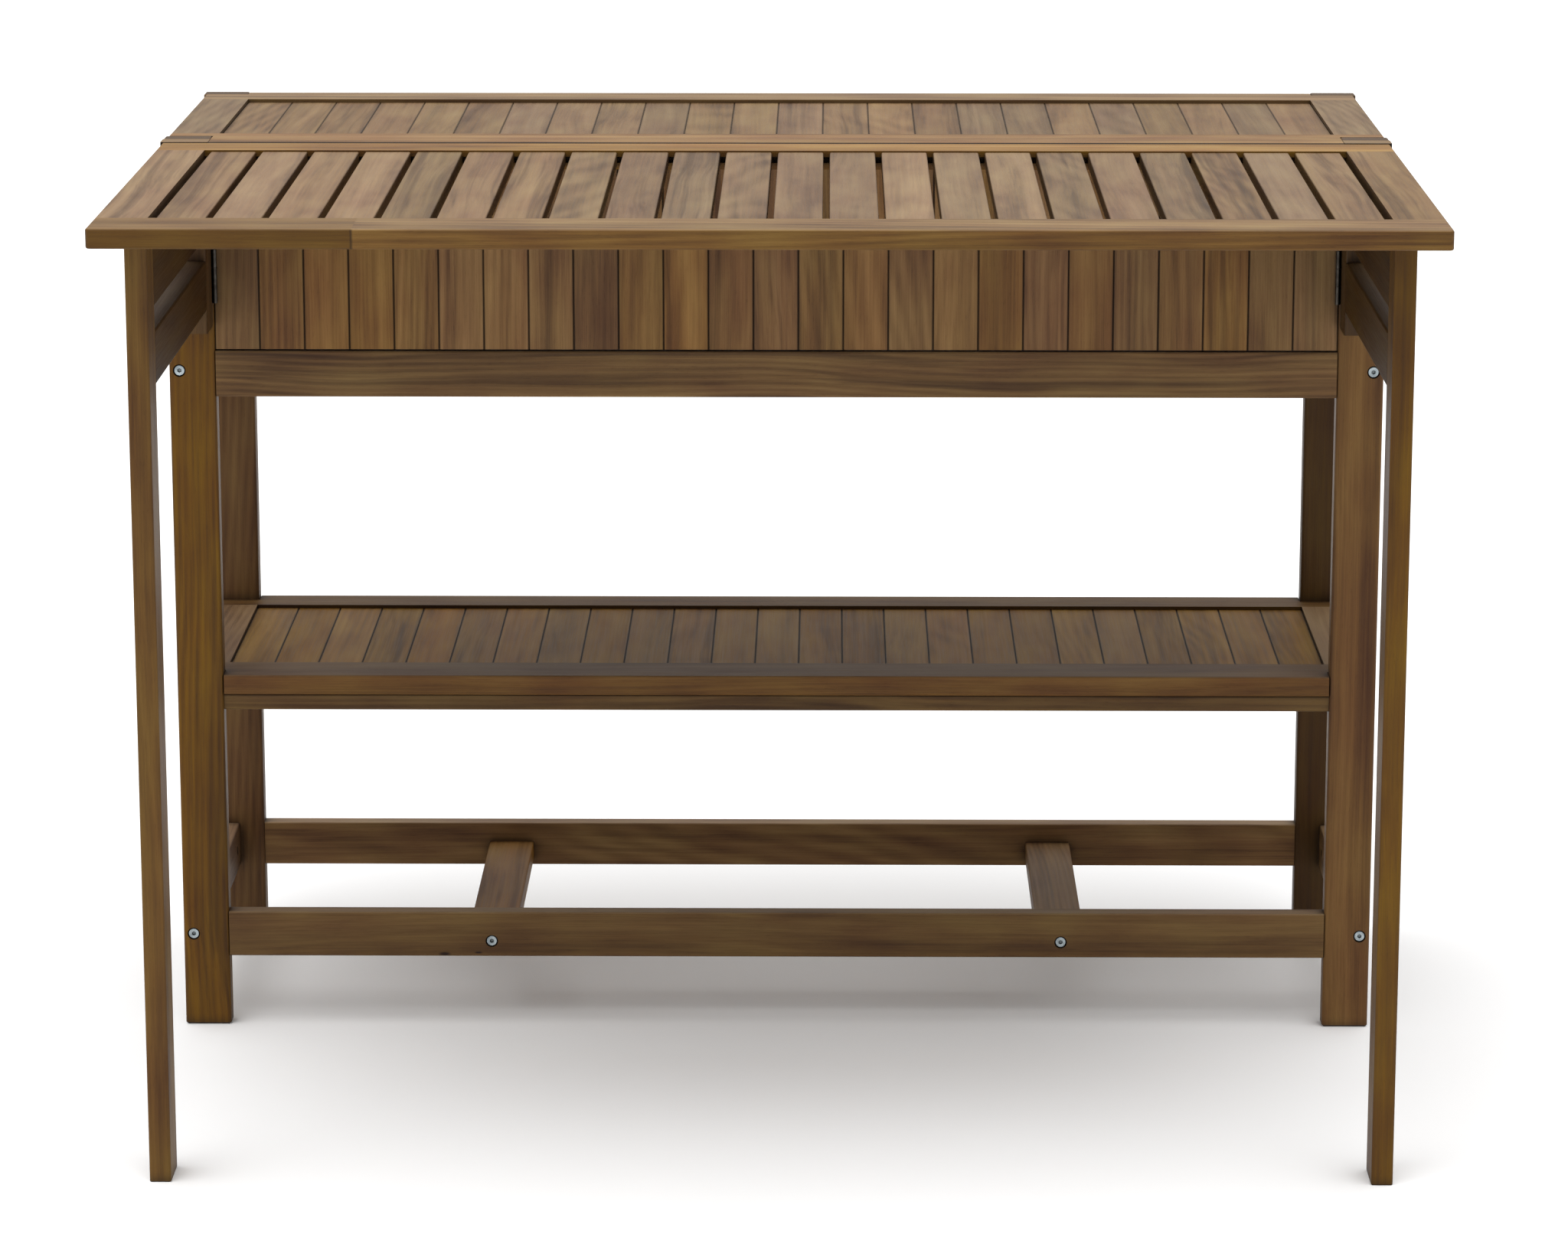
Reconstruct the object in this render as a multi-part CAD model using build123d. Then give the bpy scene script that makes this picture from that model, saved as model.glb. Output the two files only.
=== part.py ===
"""Folding potting bench in oiled hardwood.

A knock-down frame of four posts carries a fixed boarded top, a boarded apron, a boarded shelf and two
low cross bars. A slatted leaf is hinged to the front edge of the fixed top and rests on two gate legs,
which are hinged to the front posts and swing inward against the apron when the bench is put away.

Millimetres. X runs along the bench, Y from front to back, Z up from the floor. The pieces are drawn
with y = 0 on the front face of the front posts, and move back once, at export, so that the origin is on
the floor under the middle of the footprint. Left is -X and right is +X.
"""
import os

from build123d import *

# ---- overall sizes ----
WORK_HEIGHT = 900.0          # floor to the top of the work surface
FRAME_WIDTH = 1194.0         # over the outer faces of the posts
FRAME_DEPTH = 367.0          # front face of the front posts to rear face of the rear posts
LEAF_REACH = 579.0           # front face of the posts to the front edge of the leaf

# ---- timber sections ----
POST_WIDTH = 46.0
POST_THICKNESS = 22.0
RAIL_HEIGHT = 46.0
RAIL_THICKNESS = 20.0
POST_EDGE_RADIUS = 3.0
EDGE_RADIUS = 2.0            # eased long edges of rails and legs
FOOT_CHAMFER = 2.0
POST_TOP_CHAMFER = 1.0
TENON_LENGTH = 20.0
TENON_THICKNESS = 8.0
TENON_SHOULDER = 8.0         # above and below the tenon of a rail

# ---- heights of the frame's rails ----
SIDE_RAIL_RISE = 3.0         # upper side rails stand this much higher than the front one
LOWER_RAIL_TOP = 118.0
CROSS_BAR_TOP = 98.0
CROSS_BAR_X = 286.5          # middle of each cross bar
CROSS_BAR_WIDTH = 47.0

# ---- boarded panels ----
PANEL_THICKNESS = 18.0       # fixed top and leaf
PANEL_SIDE_SETBACK = 2.5     # panels stop short of the posts' outer faces
TOP_REAR_SETBACK = 5.0       # fixed top stops short of the posts' rear faces; the shelf is flush
TOP_OVERHANG = 22.0          # fixed top in front of the posts
LEAF_GAP = 5.0               # between the fixed top and the leaf
NOTCH_CLEARANCE = 0.5        # panel notches round the posts
TONGUE_THICKNESS = 6.0       # stub tenons in the rails' grooves
TONGUE_LENGTH = 8.0
GROOVE_CLEARANCE = 0.2
PANEL_CORNER_RADIUS = 4.0

TOP_FRONT_RAIL = 64.0
TOP_REAR_RAIL = 56.0
TOP_STILE = 48.0
TOP_BOARD_COUNT = 24
LEAF_FRONT_RAIL = 64.0
LEAF_REAR_RAIL = 52.0
LEAF_STILE = 47.0
LEAF_SLAT_COUNT = 22
LEAF_SLOT = 6.0              # open gap between slats
SLAT_THICKNESS = 14.0
SLAT_RECESS = 1.5
SLAT_EDGE_RADIUS = 1.5
BOARD_THICKNESS = 11.0
BOARD_RECESS = 3.5           # boards below the panel frame's surface
BOARD_BEVEL = 0.8            # eased edges that show as lines between boards
EDGE_TONGUE = 4.0            # tongue and groove between neighbouring boards
EDGE_TONGUE_LENGTH = 3.5

SHELF_TOP = 363.0
SHELF_THICKNESS = 20.0
SHELF_FRONT_RAIL = 57.0
SHELF_REAR_RAIL = 47.5
SHELF_STILE = 44.0
SHELF_BOARD_COUNT = 25
BEARER_HEIGHT = 16.0         # strips that the shelf lies on
BEARER_SETBACK = 3.0
BEARER_SHOULDER = 3.0

# ---- apron ----
APRON_BOARD_COUNT = 25
APRON_HEIGHT = 189.5         # length of the boards, under the fixed top
APRON_THICKNESS = 12.0
APRON_SETBACK = 1.0          # behind the posts' front faces
APRON_GAP = 1.5              # over the upper front rail
BATTEN_HEIGHT = 30.0
BATTEN_THICKNESS = 20.0

# ---- gate legs ----
GATE_REACH = 492.0           # front face of the posts to the front edge of the leg
GATE_INSET = 24.5            # from the posts' outer faces to the gates' outer faces
GATE_THICKNESS = 20.0
GATE_LEG_WIDTH = 46.0
GATE_STILE_WIDTH = 46.0
LEG_CLEARANCE = 0.5          # leg under the leaf
HINGE_ROOM = 8.0             # gate rails stay this far under the panels, clear of the leaf's hinges
GATE_UPPER_RAIL = 64.5
GATE_SLOT = 22.0
GATE_LOWER_RAIL = 49.0
GATE_HORN = 22.5             # gate stile below the lower rail

# ---- butt hinges ----
PLATE_THICKNESS = 1.2
PLATES_APART = 0.2           # between a gate hinge's two plates when the gate is out
PLATE_WIDTH = 22.0
PIN_CLEARANCE = 0.05
KNUCKLE_GAP = 0.4            # along the pin
KNUCKLE_RELIEF = 0.6         # plate windows round the other plate's knuckles
GATE_HINGE_LENGTH = 53.0
GATE_KNUCKLE_RADIUS = 2.5
GATE_PIN_RADIUS = 1.25
GATE_HINGE_FROM_TOP = 36.0   # hinge's middle below the top of the gate's stile
GATE_HINGE_FROM_FOOT = 49.5  # hinge's middle above the foot of the gate's stile
GATE_KNUCKLE_SPACE = 0.3     # between the knuckles and the gate
POST_KNUCKLE_SPACE = 0.5     # between the knuckles and the post
LEAF_HINGE_LENGTH = 60.0
LEAF_KNUCKLE_RADIUS = 3.0
LEAF_PIN_RADIUS = 1.5
LEAF_PIN_DROP = 2.5          # pin's axis under the panels' underside
LEAF_HINGE_PLACES = (-400.0, 0.0, 400.0)

# ---- fasteners ----
BOLT_RADIUS = 3.0
BOLT_LENGTH = 60.0
BOLT_HOLE_CLEARANCE = 0.3
BOLT_HEAD_RADIUS = 5.25
BOLT_HEAD_HEIGHT = 3.5
BOLT_HEAD_DOME = 0.6
SOCKET_RADIUS = 2.3          # across the corners of the hexagon
SOCKET_DEPTH = 2.0
COUNTERBORE_RADIUS = 6.3
COUNTERBORE_DEPTH = 4.5
NUT_RADIUS = 5.0
NUT_LENGTH = 14.0
NUT_SETBACK = 30.0           # from the rail's end to the barrel nut
NUT_FIT = 0.1
BOLT_TIP_ROOM = 4.0
DOWEL_RADIUS = 4.0
DOWEL_FIT = 0.1
DOWEL_IN_POST = 14.0
DOWEL_IN_RAIL = 26.0
DOWEL_DROP = 14.0            # dowel below the bolt
SCREW_RADIUS = 2.0
SCREW_HEAD_RADIUS = 4.0
SCREW_HEAD_HEIGHT = 2.4
SCREW_FIT = 0.05
SCREW_BITE = 12.0            # screw's reach into the panel above
SCREW_SINK = 6.0             # head below the strip's underside
SCREW_PLACES = (-420.0, 0.0, 420.0)
HINGE_SCREW_RADIUS = 1.5
HINGE_SCREW_HEAD_RADIUS = 2.8
HINGE_SCREW_LENGTH = 12.0
HINGE_SCREW_OFFSET = 14.0    # from the pin's axis
HINGE_SCREW_END = 9.0        # from the plate's end

# ---- places worked out from the sizes ----
HALF_WIDTH = FRAME_WIDTH / 2
POST_INNER = HALF_WIDTH - POST_WIDTH
REAR_POST_Y = FRAME_DEPTH - POST_THICKNESS
PANEL_HALF_WIDTH = HALF_WIDTH - PANEL_SIDE_SETBACK
PANEL_BOTTOM = WORK_HEIGHT - PANEL_THICKNESS
APRON_BOTTOM = PANEL_BOTTOM - APRON_HEIGHT
UPPER_RAIL_TOP = APRON_BOTTOM - APRON_GAP
LEAF_REAR_EDGE = -TOP_OVERHANG - LEAF_GAP
SHELF_BOTTOM = SHELF_TOP - SHELF_THICKNESS
REAR_RAIL_Y = FRAME_DEPTH - RAIL_THICKNESS
SIDE_RAIL_X = HALF_WIDTH - RAIL_THICKNESS / 2
UPPER_SIDE_TOP = UPPER_RAIL_TOP + SIDE_RAIL_RISE
CROSS_BAR_BOTTOM = CROSS_BAR_TOP - RAIL_THICKNESS
CROSS_BAR_MIDDLE = CROSS_BAR_TOP - RAIL_THICKNESS / 2
GATE_OUTER = HALF_WIDTH - GATE_INSET
GATE_INNER = GATE_OUTER - GATE_THICKNESS
GATE_MIDDLE = (GATE_OUTER + GATE_INNER) / 2
GATE_RAIL_TOP = PANEL_BOTTOM - HINGE_ROOM
GATE_UPPER_BOTTOM = GATE_RAIL_TOP - GATE_UPPER_RAIL
GATE_LOWER_TOP = GATE_UPPER_BOTTOM - GATE_SLOT
GATE_LOWER_BOTTOM = GATE_LOWER_TOP - GATE_LOWER_RAIL
GATE_STILE_BOTTOM = GATE_LOWER_BOTTOM - GATE_HORN
GATE_HINGE_HEIGHTS = (GATE_STILE_BOTTOM + GATE_HINGE_FROM_FOOT, GATE_RAIL_TOP - GATE_HINGE_FROM_TOP)
LEG_TOP = PANEL_BOTTOM - LEG_CLEARANCE
LEG_REAR = -GATE_REACH + GATE_LEG_WIDTH
GATE_GAP = 2 * PLATE_THICKNESS + PLATES_APART
STILE_FRONT = -GATE_GAP - GATE_STILE_WIDTH
GATE_PIN_X = GATE_INNER - GATE_KNUCKLE_RADIUS - GATE_KNUCKLE_SPACE
GATE_PIN_Y = -GATE_KNUCKLE_RADIUS - POST_KNUCKLE_SPACE
LEAF_PIN_Y = -TOP_OVERHANG - LEAF_GAP / 2
LEAF_PIN_Z = PANEL_BOTTOM - LEAF_PIN_DROP
ORIGIN_SHIFT = (LEAF_REACH - FRAME_DEPTH) / 2
SIDES = {"left": -1, "right": 1}


# ---- shapes ----
def block(x, y, z):
    """Box that fills the three ranges, each given as its two ends in either order."""
    spans = (x, y, z)
    size = [abs(b - a) for a, b in spans]
    middle = [(a + b) / 2 for a, b in spans]
    return Pos(*middle) * Box(*size)


def eased(solid, axis, radius=EDGE_RADIUS):
    """Round the edges that run along the axis."""
    return fillet(solid.edges().filter_by(axis), radius)


def rod(start, end, radius):
    """Round bar from one point to another."""
    line = Vector(*end) - Vector(*start)
    base = Plane(origin=start, z_dir=line)
    return base * Cylinder(radius, line.length, align=(Align.CENTER, Align.CENTER, Align.MIN))


def group(solids):
    """Separate solids that share one node."""
    return Compound(list(solids))


def cut(solid, tools):
    """The solid with every tool taken out of it."""
    for tool in tools:
        solid = solid - tool
    return solid


def turned(solid, side):
    """The solid on the right-hand side, or its mirror image on the left."""
    return solid if side > 0 else mirror(solid, about=Plane.YZ)


# ---- rails that run from post to post ----
def cross_rails():
    """Ranges in y and z, and the tenon shoulder, of each rail between two posts."""
    front = (0, RAIL_THICKNESS)
    rear = (REAR_RAIL_Y, FRAME_DEPTH)
    upper = (UPPER_RAIL_TOP - RAIL_HEIGHT, UPPER_RAIL_TOP)
    lower = (LOWER_RAIL_TOP - RAIL_HEIGHT, LOWER_RAIL_TOP)
    under_top = (PANEL_BOTTOM - RAIL_HEIGHT, PANEL_BOTTOM)
    under_shelf = (SHELF_BOTTOM - BEARER_HEIGHT, SHELF_BOTTOM)
    front_bearer = (BEARER_SETBACK, BEARER_SETBACK + RAIL_THICKNESS)
    rear_bearer = (FRAME_DEPTH - BEARER_SETBACK - RAIL_THICKNESS, FRAME_DEPTH - BEARER_SETBACK)
    return {
        "upper_front_rail": (front, upper, TENON_SHOULDER),
        "front_stretcher": (front, lower, TENON_SHOULDER),
        "shelf_front_bearer": (front_bearer, under_shelf, BEARER_SHOULDER),
        "upper_rear_rail": (rear, upper, TENON_SHOULDER),
        "rear_stretcher": (rear, lower, TENON_SHOULDER),
        "shelf_rear_bearer": (rear_bearer, under_shelf, BEARER_SHOULDER),
        "top_rear_bearer": (rear, under_top, TENON_SHOULDER),
    }


def cross_rail_tenons(y, z, shoulder):
    """Bar whose two ends are the tenons of a rail from post to post."""
    middle = (y[0] + y[1]) / 2
    thickness = (middle - TENON_THICKNESS / 2, middle + TENON_THICKNESS / 2)
    reach = POST_INNER + TENON_LENGTH
    return block((-reach, reach), thickness, (z[0] + shoulder, z[1] - shoulder))


def cross_rail(y, z, shoulder):
    """Rail between two posts, with a tenon on each end."""
    body = eased(block((-POST_INNER, POST_INNER), y, z), Axis.X)
    return body + cross_rail_tenons(y, z, shoulder)


# ---- bolts, barrel nuts and dowels ----
def bolt_joints():
    """Each bolt: head face's place, direction of travel along y, and the barrel nut's own direction."""
    joints = []
    upper = UPPER_SIDE_TOP - RAIL_HEIGHT / 2
    lower = LOWER_RAIL_TOP - RAIL_HEIGHT / 2
    for face, way in ((0, 1), (FRAME_DEPTH, -1)):
        for side in SIDES.values():
            for height in (upper, lower):
                joints.append({"at": (side * SIDE_RAIL_X, face, height), "way": way,
                               "through": POST_THICKNESS, "nut": (-side, 0, 0), "dowel": True})
            joints.append({"at": (side * CROSS_BAR_X, face, CROSS_BAR_MIDDLE), "way": way,
                           "through": RAIL_THICKNESS, "nut": (0, 0, -1), "dowel": False})
    return joints


def along(joint, distance):
    """Point on the bolt's axis, this far in from the outer face."""
    x, y, z = joint["at"]
    return (x, y + joint["way"] * distance, z)


def bolt(joint):
    """Machine bolt with a low domed head and a hexagon socket."""
    seat = along(joint, COUNTERBORE_DEPTH)
    top = along(joint, COUNTERBORE_DEPTH - BOLT_HEAD_HEIGHT)
    tip = along(joint, COUNTERBORE_DEPTH + BOLT_LENGTH)
    head = rod(seat, top, BOLT_HEAD_RADIUS)
    outer_edge = head.edges().filter_by(GeomType.CIRCLE).sort_by_distance(top)[0]
    head = fillet(outer_edge, BOLT_HEAD_DOME)
    socket_plane = Plane(origin=top, z_dir=(0, joint["way"], 0))
    socket = extrude(socket_plane * RegularPolygon(SOCKET_RADIUS, 6), SOCKET_DEPTH)
    return head + rod(seat, tip, BOLT_RADIUS) - socket


def bolt_holes(joint):
    """Counterbore and clearance hole for one bolt."""
    face = along(joint, 0)
    seat = along(joint, COUNTERBORE_DEPTH)
    bottom = along(joint, COUNTERBORE_DEPTH + BOLT_LENGTH + BOLT_TIP_ROOM)
    return [rod(face, seat, COUNTERBORE_RADIUS), rod(face, bottom, BOLT_RADIUS + BOLT_HOLE_CLEARANCE)]


def nut_ends(joint, extra):
    """Both ends of the barrel nut's axis, made longer by the extra on its open side."""
    middle = Vector(*along(joint, joint["through"] + NUT_SETBACK))
    way = Vector(*joint["nut"])
    start = middle - way * (NUT_LENGTH / 2)
    end = middle + way * (NUT_LENGTH / 2 + extra)
    return tuple(start), tuple(end)


def barrel_nut(joint):
    """Cross dowel that the bolt screws into."""
    start, end = nut_ends(joint, 0)
    tip = along(joint, COUNTERBORE_DEPTH + BOLT_LENGTH)
    return rod(start, end, NUT_RADIUS) - rod(along(joint, 0), tip, BOLT_RADIUS + PIN_CLEARANCE)


def nut_hole(joint):
    """Blind hole for the barrel nut, open on the hidden side of the rail."""
    start, end = nut_ends(joint, RAIL_THICKNESS)
    return rod(start, end, NUT_RADIUS + NUT_FIT)


def dowel_rod(joint, radius):
    """Wooden dowel under the bolt, or the hole for it."""
    x, y, z = joint["at"]
    start = y + joint["way"] * (joint["through"] - DOWEL_IN_POST)
    end = y + joint["way"] * (joint["through"] + DOWEL_IN_RAIL)
    return rod((x, start, z - DOWEL_DROP), (x, end, z - DOWEL_DROP), radius)


def joint_cuts(front):
    """All the holes of the bolted joints on the front or the rear of the frame."""
    tools = []
    for joint in bolt_joints():
        if (joint["way"] > 0) == front:
            tools += bolt_holes(joint)
            tools.append(nut_hole(joint))
            if joint["dowel"]:
                tools.append(dowel_rod(joint, DOWEL_RADIUS + DOWEL_FIT))
    return tools


# ---- the fixed frame ----
def post(side, rear):
    """Upright with its mortises and bolt holes."""
    y = (REAR_POST_Y, FRAME_DEPTH) if rear else (0, POST_THICKNESS)
    body = eased(block((side * POST_INNER, side * HALF_WIDTH), y, (0, WORK_HEIGHT)), Axis.Z,
                 POST_EDGE_RADIUS)
    body = chamfer(body.faces().sort_by(Axis.Z)[0].edges(), FOOT_CHAMFER)
    body = chamfer(body.faces().sort_by(Axis.Z)[-1].edges(), POST_TOP_CHAMFER)
    mortises = [cross_rail_tenons(*spec) for name, spec in cross_rails().items() if ("rear" in name) == rear]
    screws = [] if rear else [turned(tool, side) for tool in gate_hinge_screws(True, SCREW_FIT)]
    return cut(body, mortises + joint_cuts(not rear) + screws)


def head_block(side):
    """Block that fills the fixed top's notch in front of a front post."""
    return block((side * POST_INNER, side * HALF_WIDTH), (-TOP_OVERHANG, 0), (PANEL_BOTTOM, WORK_HEIGHT))


def side_rail(side, top):
    """Rail from a front post to a rear post, bolted at both ends."""
    x = (side * (HALF_WIDTH - RAIL_THICKNESS), side * HALF_WIDTH)
    body = eased(block(x, (POST_THICKNESS, REAR_POST_Y), (top - RAIL_HEIGHT, top)), Axis.Y)
    return cut(body, joint_cuts(True) + joint_cuts(False))


def cross_bar(side):
    """Flat bar from the front stretcher to the rear one."""
    x = (side * CROSS_BAR_X - CROSS_BAR_WIDTH / 2, side * CROSS_BAR_X + CROSS_BAR_WIDTH / 2)
    body = eased(block(x, (RAIL_THICKNESS, REAR_RAIL_Y), (CROSS_BAR_BOTTOM, CROSS_BAR_TOP)), Axis.Y)
    return cut(body, joint_cuts(True) + joint_cuts(False))


def fixed_frame():
    """Posts, rails, cross bars and what bolts them together."""
    nodes = {}
    for name, side in SIDES.items():
        nodes["post_front_" + name] = post(side, rear=False)
        nodes["post_rear_" + name] = post(side, rear=True)
        nodes["head_block_" + name] = head_block(side)
        nodes["upper_side_rail_" + name] = side_rail(side, UPPER_SIDE_TOP)
        nodes["lower_side_rail_" + name] = side_rail(side, LOWER_RAIL_TOP)
        nodes["cross_bar_" + name] = cross_bar(side)
    for name, spec in cross_rails().items():
        tools = joint_cuts("rear" not in name) if "stretcher" in name else []
        if "bearer" in name:
            tools += [screw(*place, hole=True) for place in screw_places()]
        nodes[name] = cut(cross_rail(*spec), tools)
    joints = bolt_joints()
    nodes["frame_bolts"] = group(bolt(joint) for joint in joints)
    nodes["barrel_nuts"] = group(barrel_nut(joint) for joint in joints)
    nodes["frame_dowels"] = group(dowel_rod(joint, DOWEL_RADIUS) for joint in joints if joint["dowel"])
    return nodes


# ---- boarded panels ----
def screw_places():
    """Each panel screw: x, y, the underside of its strip and the underside of the panel above."""
    apron_y = APRON_SETBACK + APRON_THICKNESS + BATTEN_THICKNESS / 2
    rear_y = FRAME_DEPTH - RAIL_THICKNESS / 2
    front_bearer_y = BEARER_SETBACK + RAIL_THICKNESS / 2
    rows = (
        (apron_y, PANEL_BOTTOM - BATTEN_HEIGHT, PANEL_BOTTOM),
        (rear_y, PANEL_BOTTOM - RAIL_HEIGHT, PANEL_BOTTOM),
        (front_bearer_y, SHELF_BOTTOM - BEARER_HEIGHT, SHELF_BOTTOM),
        (FRAME_DEPTH - front_bearer_y, SHELF_BOTTOM - BEARER_HEIGHT, SHELF_BOTTOM),
    )
    return [(x, y, low, high) for y, low, high in rows for x in SCREW_PLACES]


def screw(x, y, low, high, hole=False):
    """Countersunk screw up through a strip into a panel, or the hole for it."""
    play = SCREW_FIT if hole else 0
    seat = low + SCREW_SINK
    top = high + SCREW_BITE + play
    shank = rod((x, y, seat), (x, y, top), SCREW_RADIUS + play)
    cone = Pos(x, y, seat + SCREW_HEAD_HEIGHT / 2) * Cone(SCREW_HEAD_RADIUS + play, SCREW_RADIUS + play,
                                                         SCREW_HEAD_HEIGHT)
    solid = shank + cone
    if hole:
        solid = solid + rod((x, y, low), (x, y, seat), SCREW_HEAD_RADIUS + play)
    return solid


def groove(x, y, tongue_z):
    """Room for the tongues along one edge of a rail."""
    return block(x, y, (tongue_z[0] - GROOVE_CLEARANCE / 2, tongue_z[1] + GROOVE_CLEARANCE / 2))


def panel_rail(x, y, z, front, corner_radius):
    """Panel rail with eased outer edges. Its inner edges stay sharp, where stiles and boards meet it."""
    body = block(x, y, z)
    if corner_radius:
        body = fillet(body.edges().filter_by(Axis.Z).group_by(Axis.Y)[0 if front else -1], corner_radius)
    outer = []
    for face in (body.faces().sort_by(Axis.Z)[0], body.faces().sort_by(Axis.Z)[-1]):
        edges = face.edges().sort_by(Axis.Y)
        outer += edges[:-1] if front else edges[1:]
    return fillet(outer, EDGE_RADIUS)


def panel_stile(side, width, y, z):
    """Panel stile between the rails, eased along its outer edges only."""
    body = block((side * (PANEL_HALF_WIDTH - width), side * PANEL_HALF_WIDTH), y, z)
    edges = body.edges().filter_by(Axis.Y).group_by(Axis.X)
    return fillet(edges[-1] if side > 0 else edges[0], EDGE_RADIUS)


def panel_frame(name, y, top, thickness, rails, stile, corner_radius=None):
    """Front and rear rails over the full width, and two stiles between them."""
    front, rear = y
    z = (top - thickness, top)
    tongue_z = tongue_range(top, thickness)
    inner = (front + rails[0], rear - rails[1])
    x = (-PANEL_HALF_WIDTH, PANEL_HALF_WIDTH)
    reach = TONGUE_LENGTH + GROOVE_CLEARANCE
    front_rail = panel_rail(x, (front, inner[0]), z, True, corner_radius)
    rear_rail = panel_rail(x, (inner[1], rear), z, False, None)
    nodes = {
        name + "_front_rail": front_rail - groove(x, (inner[0] - reach, inner[0]), tongue_z),
        name + "_rear_rail": rear_rail - groove(x, (inner[1], inner[1] + reach), tongue_z),
    }
    for side_name, side in SIDES.items():
        stile_x = (side * (PANEL_HALF_WIDTH - stile), side * PANEL_HALF_WIDTH)
        tongue = block(stile_x, (inner[0] - TONGUE_LENGTH, inner[1] + TONGUE_LENGTH), tongue_z)
        nodes[name + "_stile_" + side_name] = panel_stile(side, stile, inner, z) + tongue
    return nodes


def tongue_range(top, thickness):
    """Range in z of the tongues, in the middle of a panel's thickness."""
    middle = top - thickness / 2
    return (middle - TONGUE_THICKNESS / 2, middle + TONGUE_THICKNESS / 2)


def board(width, thickness, length, first, last):
    """Tongued and grooved board along +Z from z = 0, with its show face at +Y and its tongue at +X."""
    half = thickness / 2
    run = (0, length)
    body = block((0, width), (-half, half), run)
    show_edges = body.edges().filter_by(Axis.Z).group_by(Axis.Y)[-1]
    body = chamfer(show_edges, BOARD_BEVEL)
    if not last:
        body = body + block((width, width + EDGE_TONGUE_LENGTH), (-EDGE_TONGUE / 2, EDGE_TONGUE / 2), run)
    if not first:
        room = EDGE_TONGUE / 2 + GROOVE_CLEARANCE / 2
        body = body - block((0, EDGE_TONGUE_LENGTH + GROOVE_CLEARANCE), (-room, room), run)
    return body


def board_row(count, half_width, thickness, length):
    """A row of boards side by side along X, centred on x = 0."""
    width = 2 * half_width / count
    for index in range(count):
        shape = board(width, thickness, length, index == 0, index == count - 1)
        yield Pos(index * width - half_width, 0, 0) * shape


def laid_boards(count, half_width, y, top, panel_thickness):
    """Boards that lie along Y in a panel, with end tongues in the rails' grooves."""
    width = 2 * half_width / count
    show = top - BOARD_RECESS
    tongue_z = tongue_range(top, panel_thickness)
    lay_down = Pos(0, y[1], show - BOARD_THICKNESS / 2) * Rot(90, 0, 0)
    boards = []
    for index, shape in enumerate(board_row(count, half_width, BOARD_THICKNESS, y[1] - y[0])):
        left = index * width - half_width
        ends = (y[0] - TONGUE_LENGTH, y[1] + TONGUE_LENGTH)
        inside = (left + EDGE_TONGUE_LENGTH + GROOVE_CLEARANCE, left + width - GROOVE_CLEARANCE)
        boards.append(lay_down * shape + block(inside, ends, tongue_z))
    return group(boards)


def post_notches(rear_too, front_edge):
    """Room for the posts in a panel's corners."""
    tools = []
    low, high = POST_INNER - NOTCH_CLEARANCE, HALF_WIDTH
    for side in SIDES.values():
        x = (side * low, side * high)
        tools.append(block(x, (front_edge, POST_THICKNESS + NOTCH_CLEARANCE), (0, WORK_HEIGHT)))
        if rear_too:
            tools.append(block(x, (REAR_POST_Y - NOTCH_CLEARANCE, FRAME_DEPTH), (0, WORK_HEIGHT)))
    return tools


def fixed_top():
    """Narrow boarded top over the frame, notched round all four posts."""
    y = (-TOP_OVERHANG, FRAME_DEPTH - TOP_REAR_SETBACK)
    rails = (TOP_FRONT_RAIL, TOP_REAR_RAIL)
    nodes = panel_frame("top", y, WORK_HEIGHT, PANEL_THICKNESS, rails, TOP_STILE)
    tools = post_notches(True, -TOP_OVERHANG) + [screw(*place, hole=True) for place in screw_places()]
    for name in ("top_front_rail", "top_rear_rail"):
        nodes[name] = cut(nodes[name], tools)
    nodes["top_front_rail"] = cut(nodes["top_front_rail"], leaf_hinge_screws(True, SCREW_FIT))
    inner = (y[0] + rails[0], y[1] - rails[1])
    half = PANEL_HALF_WIDTH - TOP_STILE
    nodes["top_boards"] = laid_boards(TOP_BOARD_COUNT, half, inner, WORK_HEIGHT, PANEL_THICKNESS)
    return nodes


def shelf():
    """Boarded shelf, notched round all four posts and laid on two bearers."""
    y = (0, FRAME_DEPTH)
    rails = (SHELF_FRONT_RAIL, SHELF_REAR_RAIL)
    nodes = panel_frame("shelf", y, SHELF_TOP, SHELF_THICKNESS, rails, SHELF_STILE)
    tools = post_notches(True, 0) + [screw(*place, hole=True) for place in screw_places()]
    for name in ("shelf_front_rail", "shelf_rear_rail"):
        nodes[name] = cut(nodes[name], tools)
    inner = (y[0] + rails[0], y[1] - rails[1])
    half = PANEL_HALF_WIDTH - SHELF_STILE
    nodes["shelf_boards"] = laid_boards(SHELF_BOARD_COUNT, half, inner, SHELF_TOP, SHELF_THICKNESS)
    return nodes


def apron():
    """Upright boards under the front edge of the fixed top, on two battens."""
    bottom = APRON_BOTTOM
    show = APRON_SETBACK
    behind = (show + APRON_THICKNESS, show + APRON_THICKNESS + BATTEN_THICKNESS)
    x = (-POST_INNER, POST_INNER)
    stand_up = Pos(0, show + APRON_THICKNESS / 2, bottom) * Rot(0, 0, 180)
    boards = [stand_up * shape for shape in board_row(APRON_BOARD_COUNT, POST_INNER, APRON_THICKNESS, APRON_HEIGHT)]
    upper = eased(block(x, behind, (PANEL_BOTTOM - BATTEN_HEIGHT, PANEL_BOTTOM)), Axis.X)
    lower = eased(block(x, behind, (bottom, bottom + BATTEN_HEIGHT)), Axis.X)
    return {
        "apron_boards": group(boards),
        "apron_upper_batten": cut(upper, [screw(*place, hole=True) for place in screw_places()]),
        "apron_lower_batten": lower,
        "panel_screws": group(screw(*place) for place in screw_places()),
    }


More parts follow.
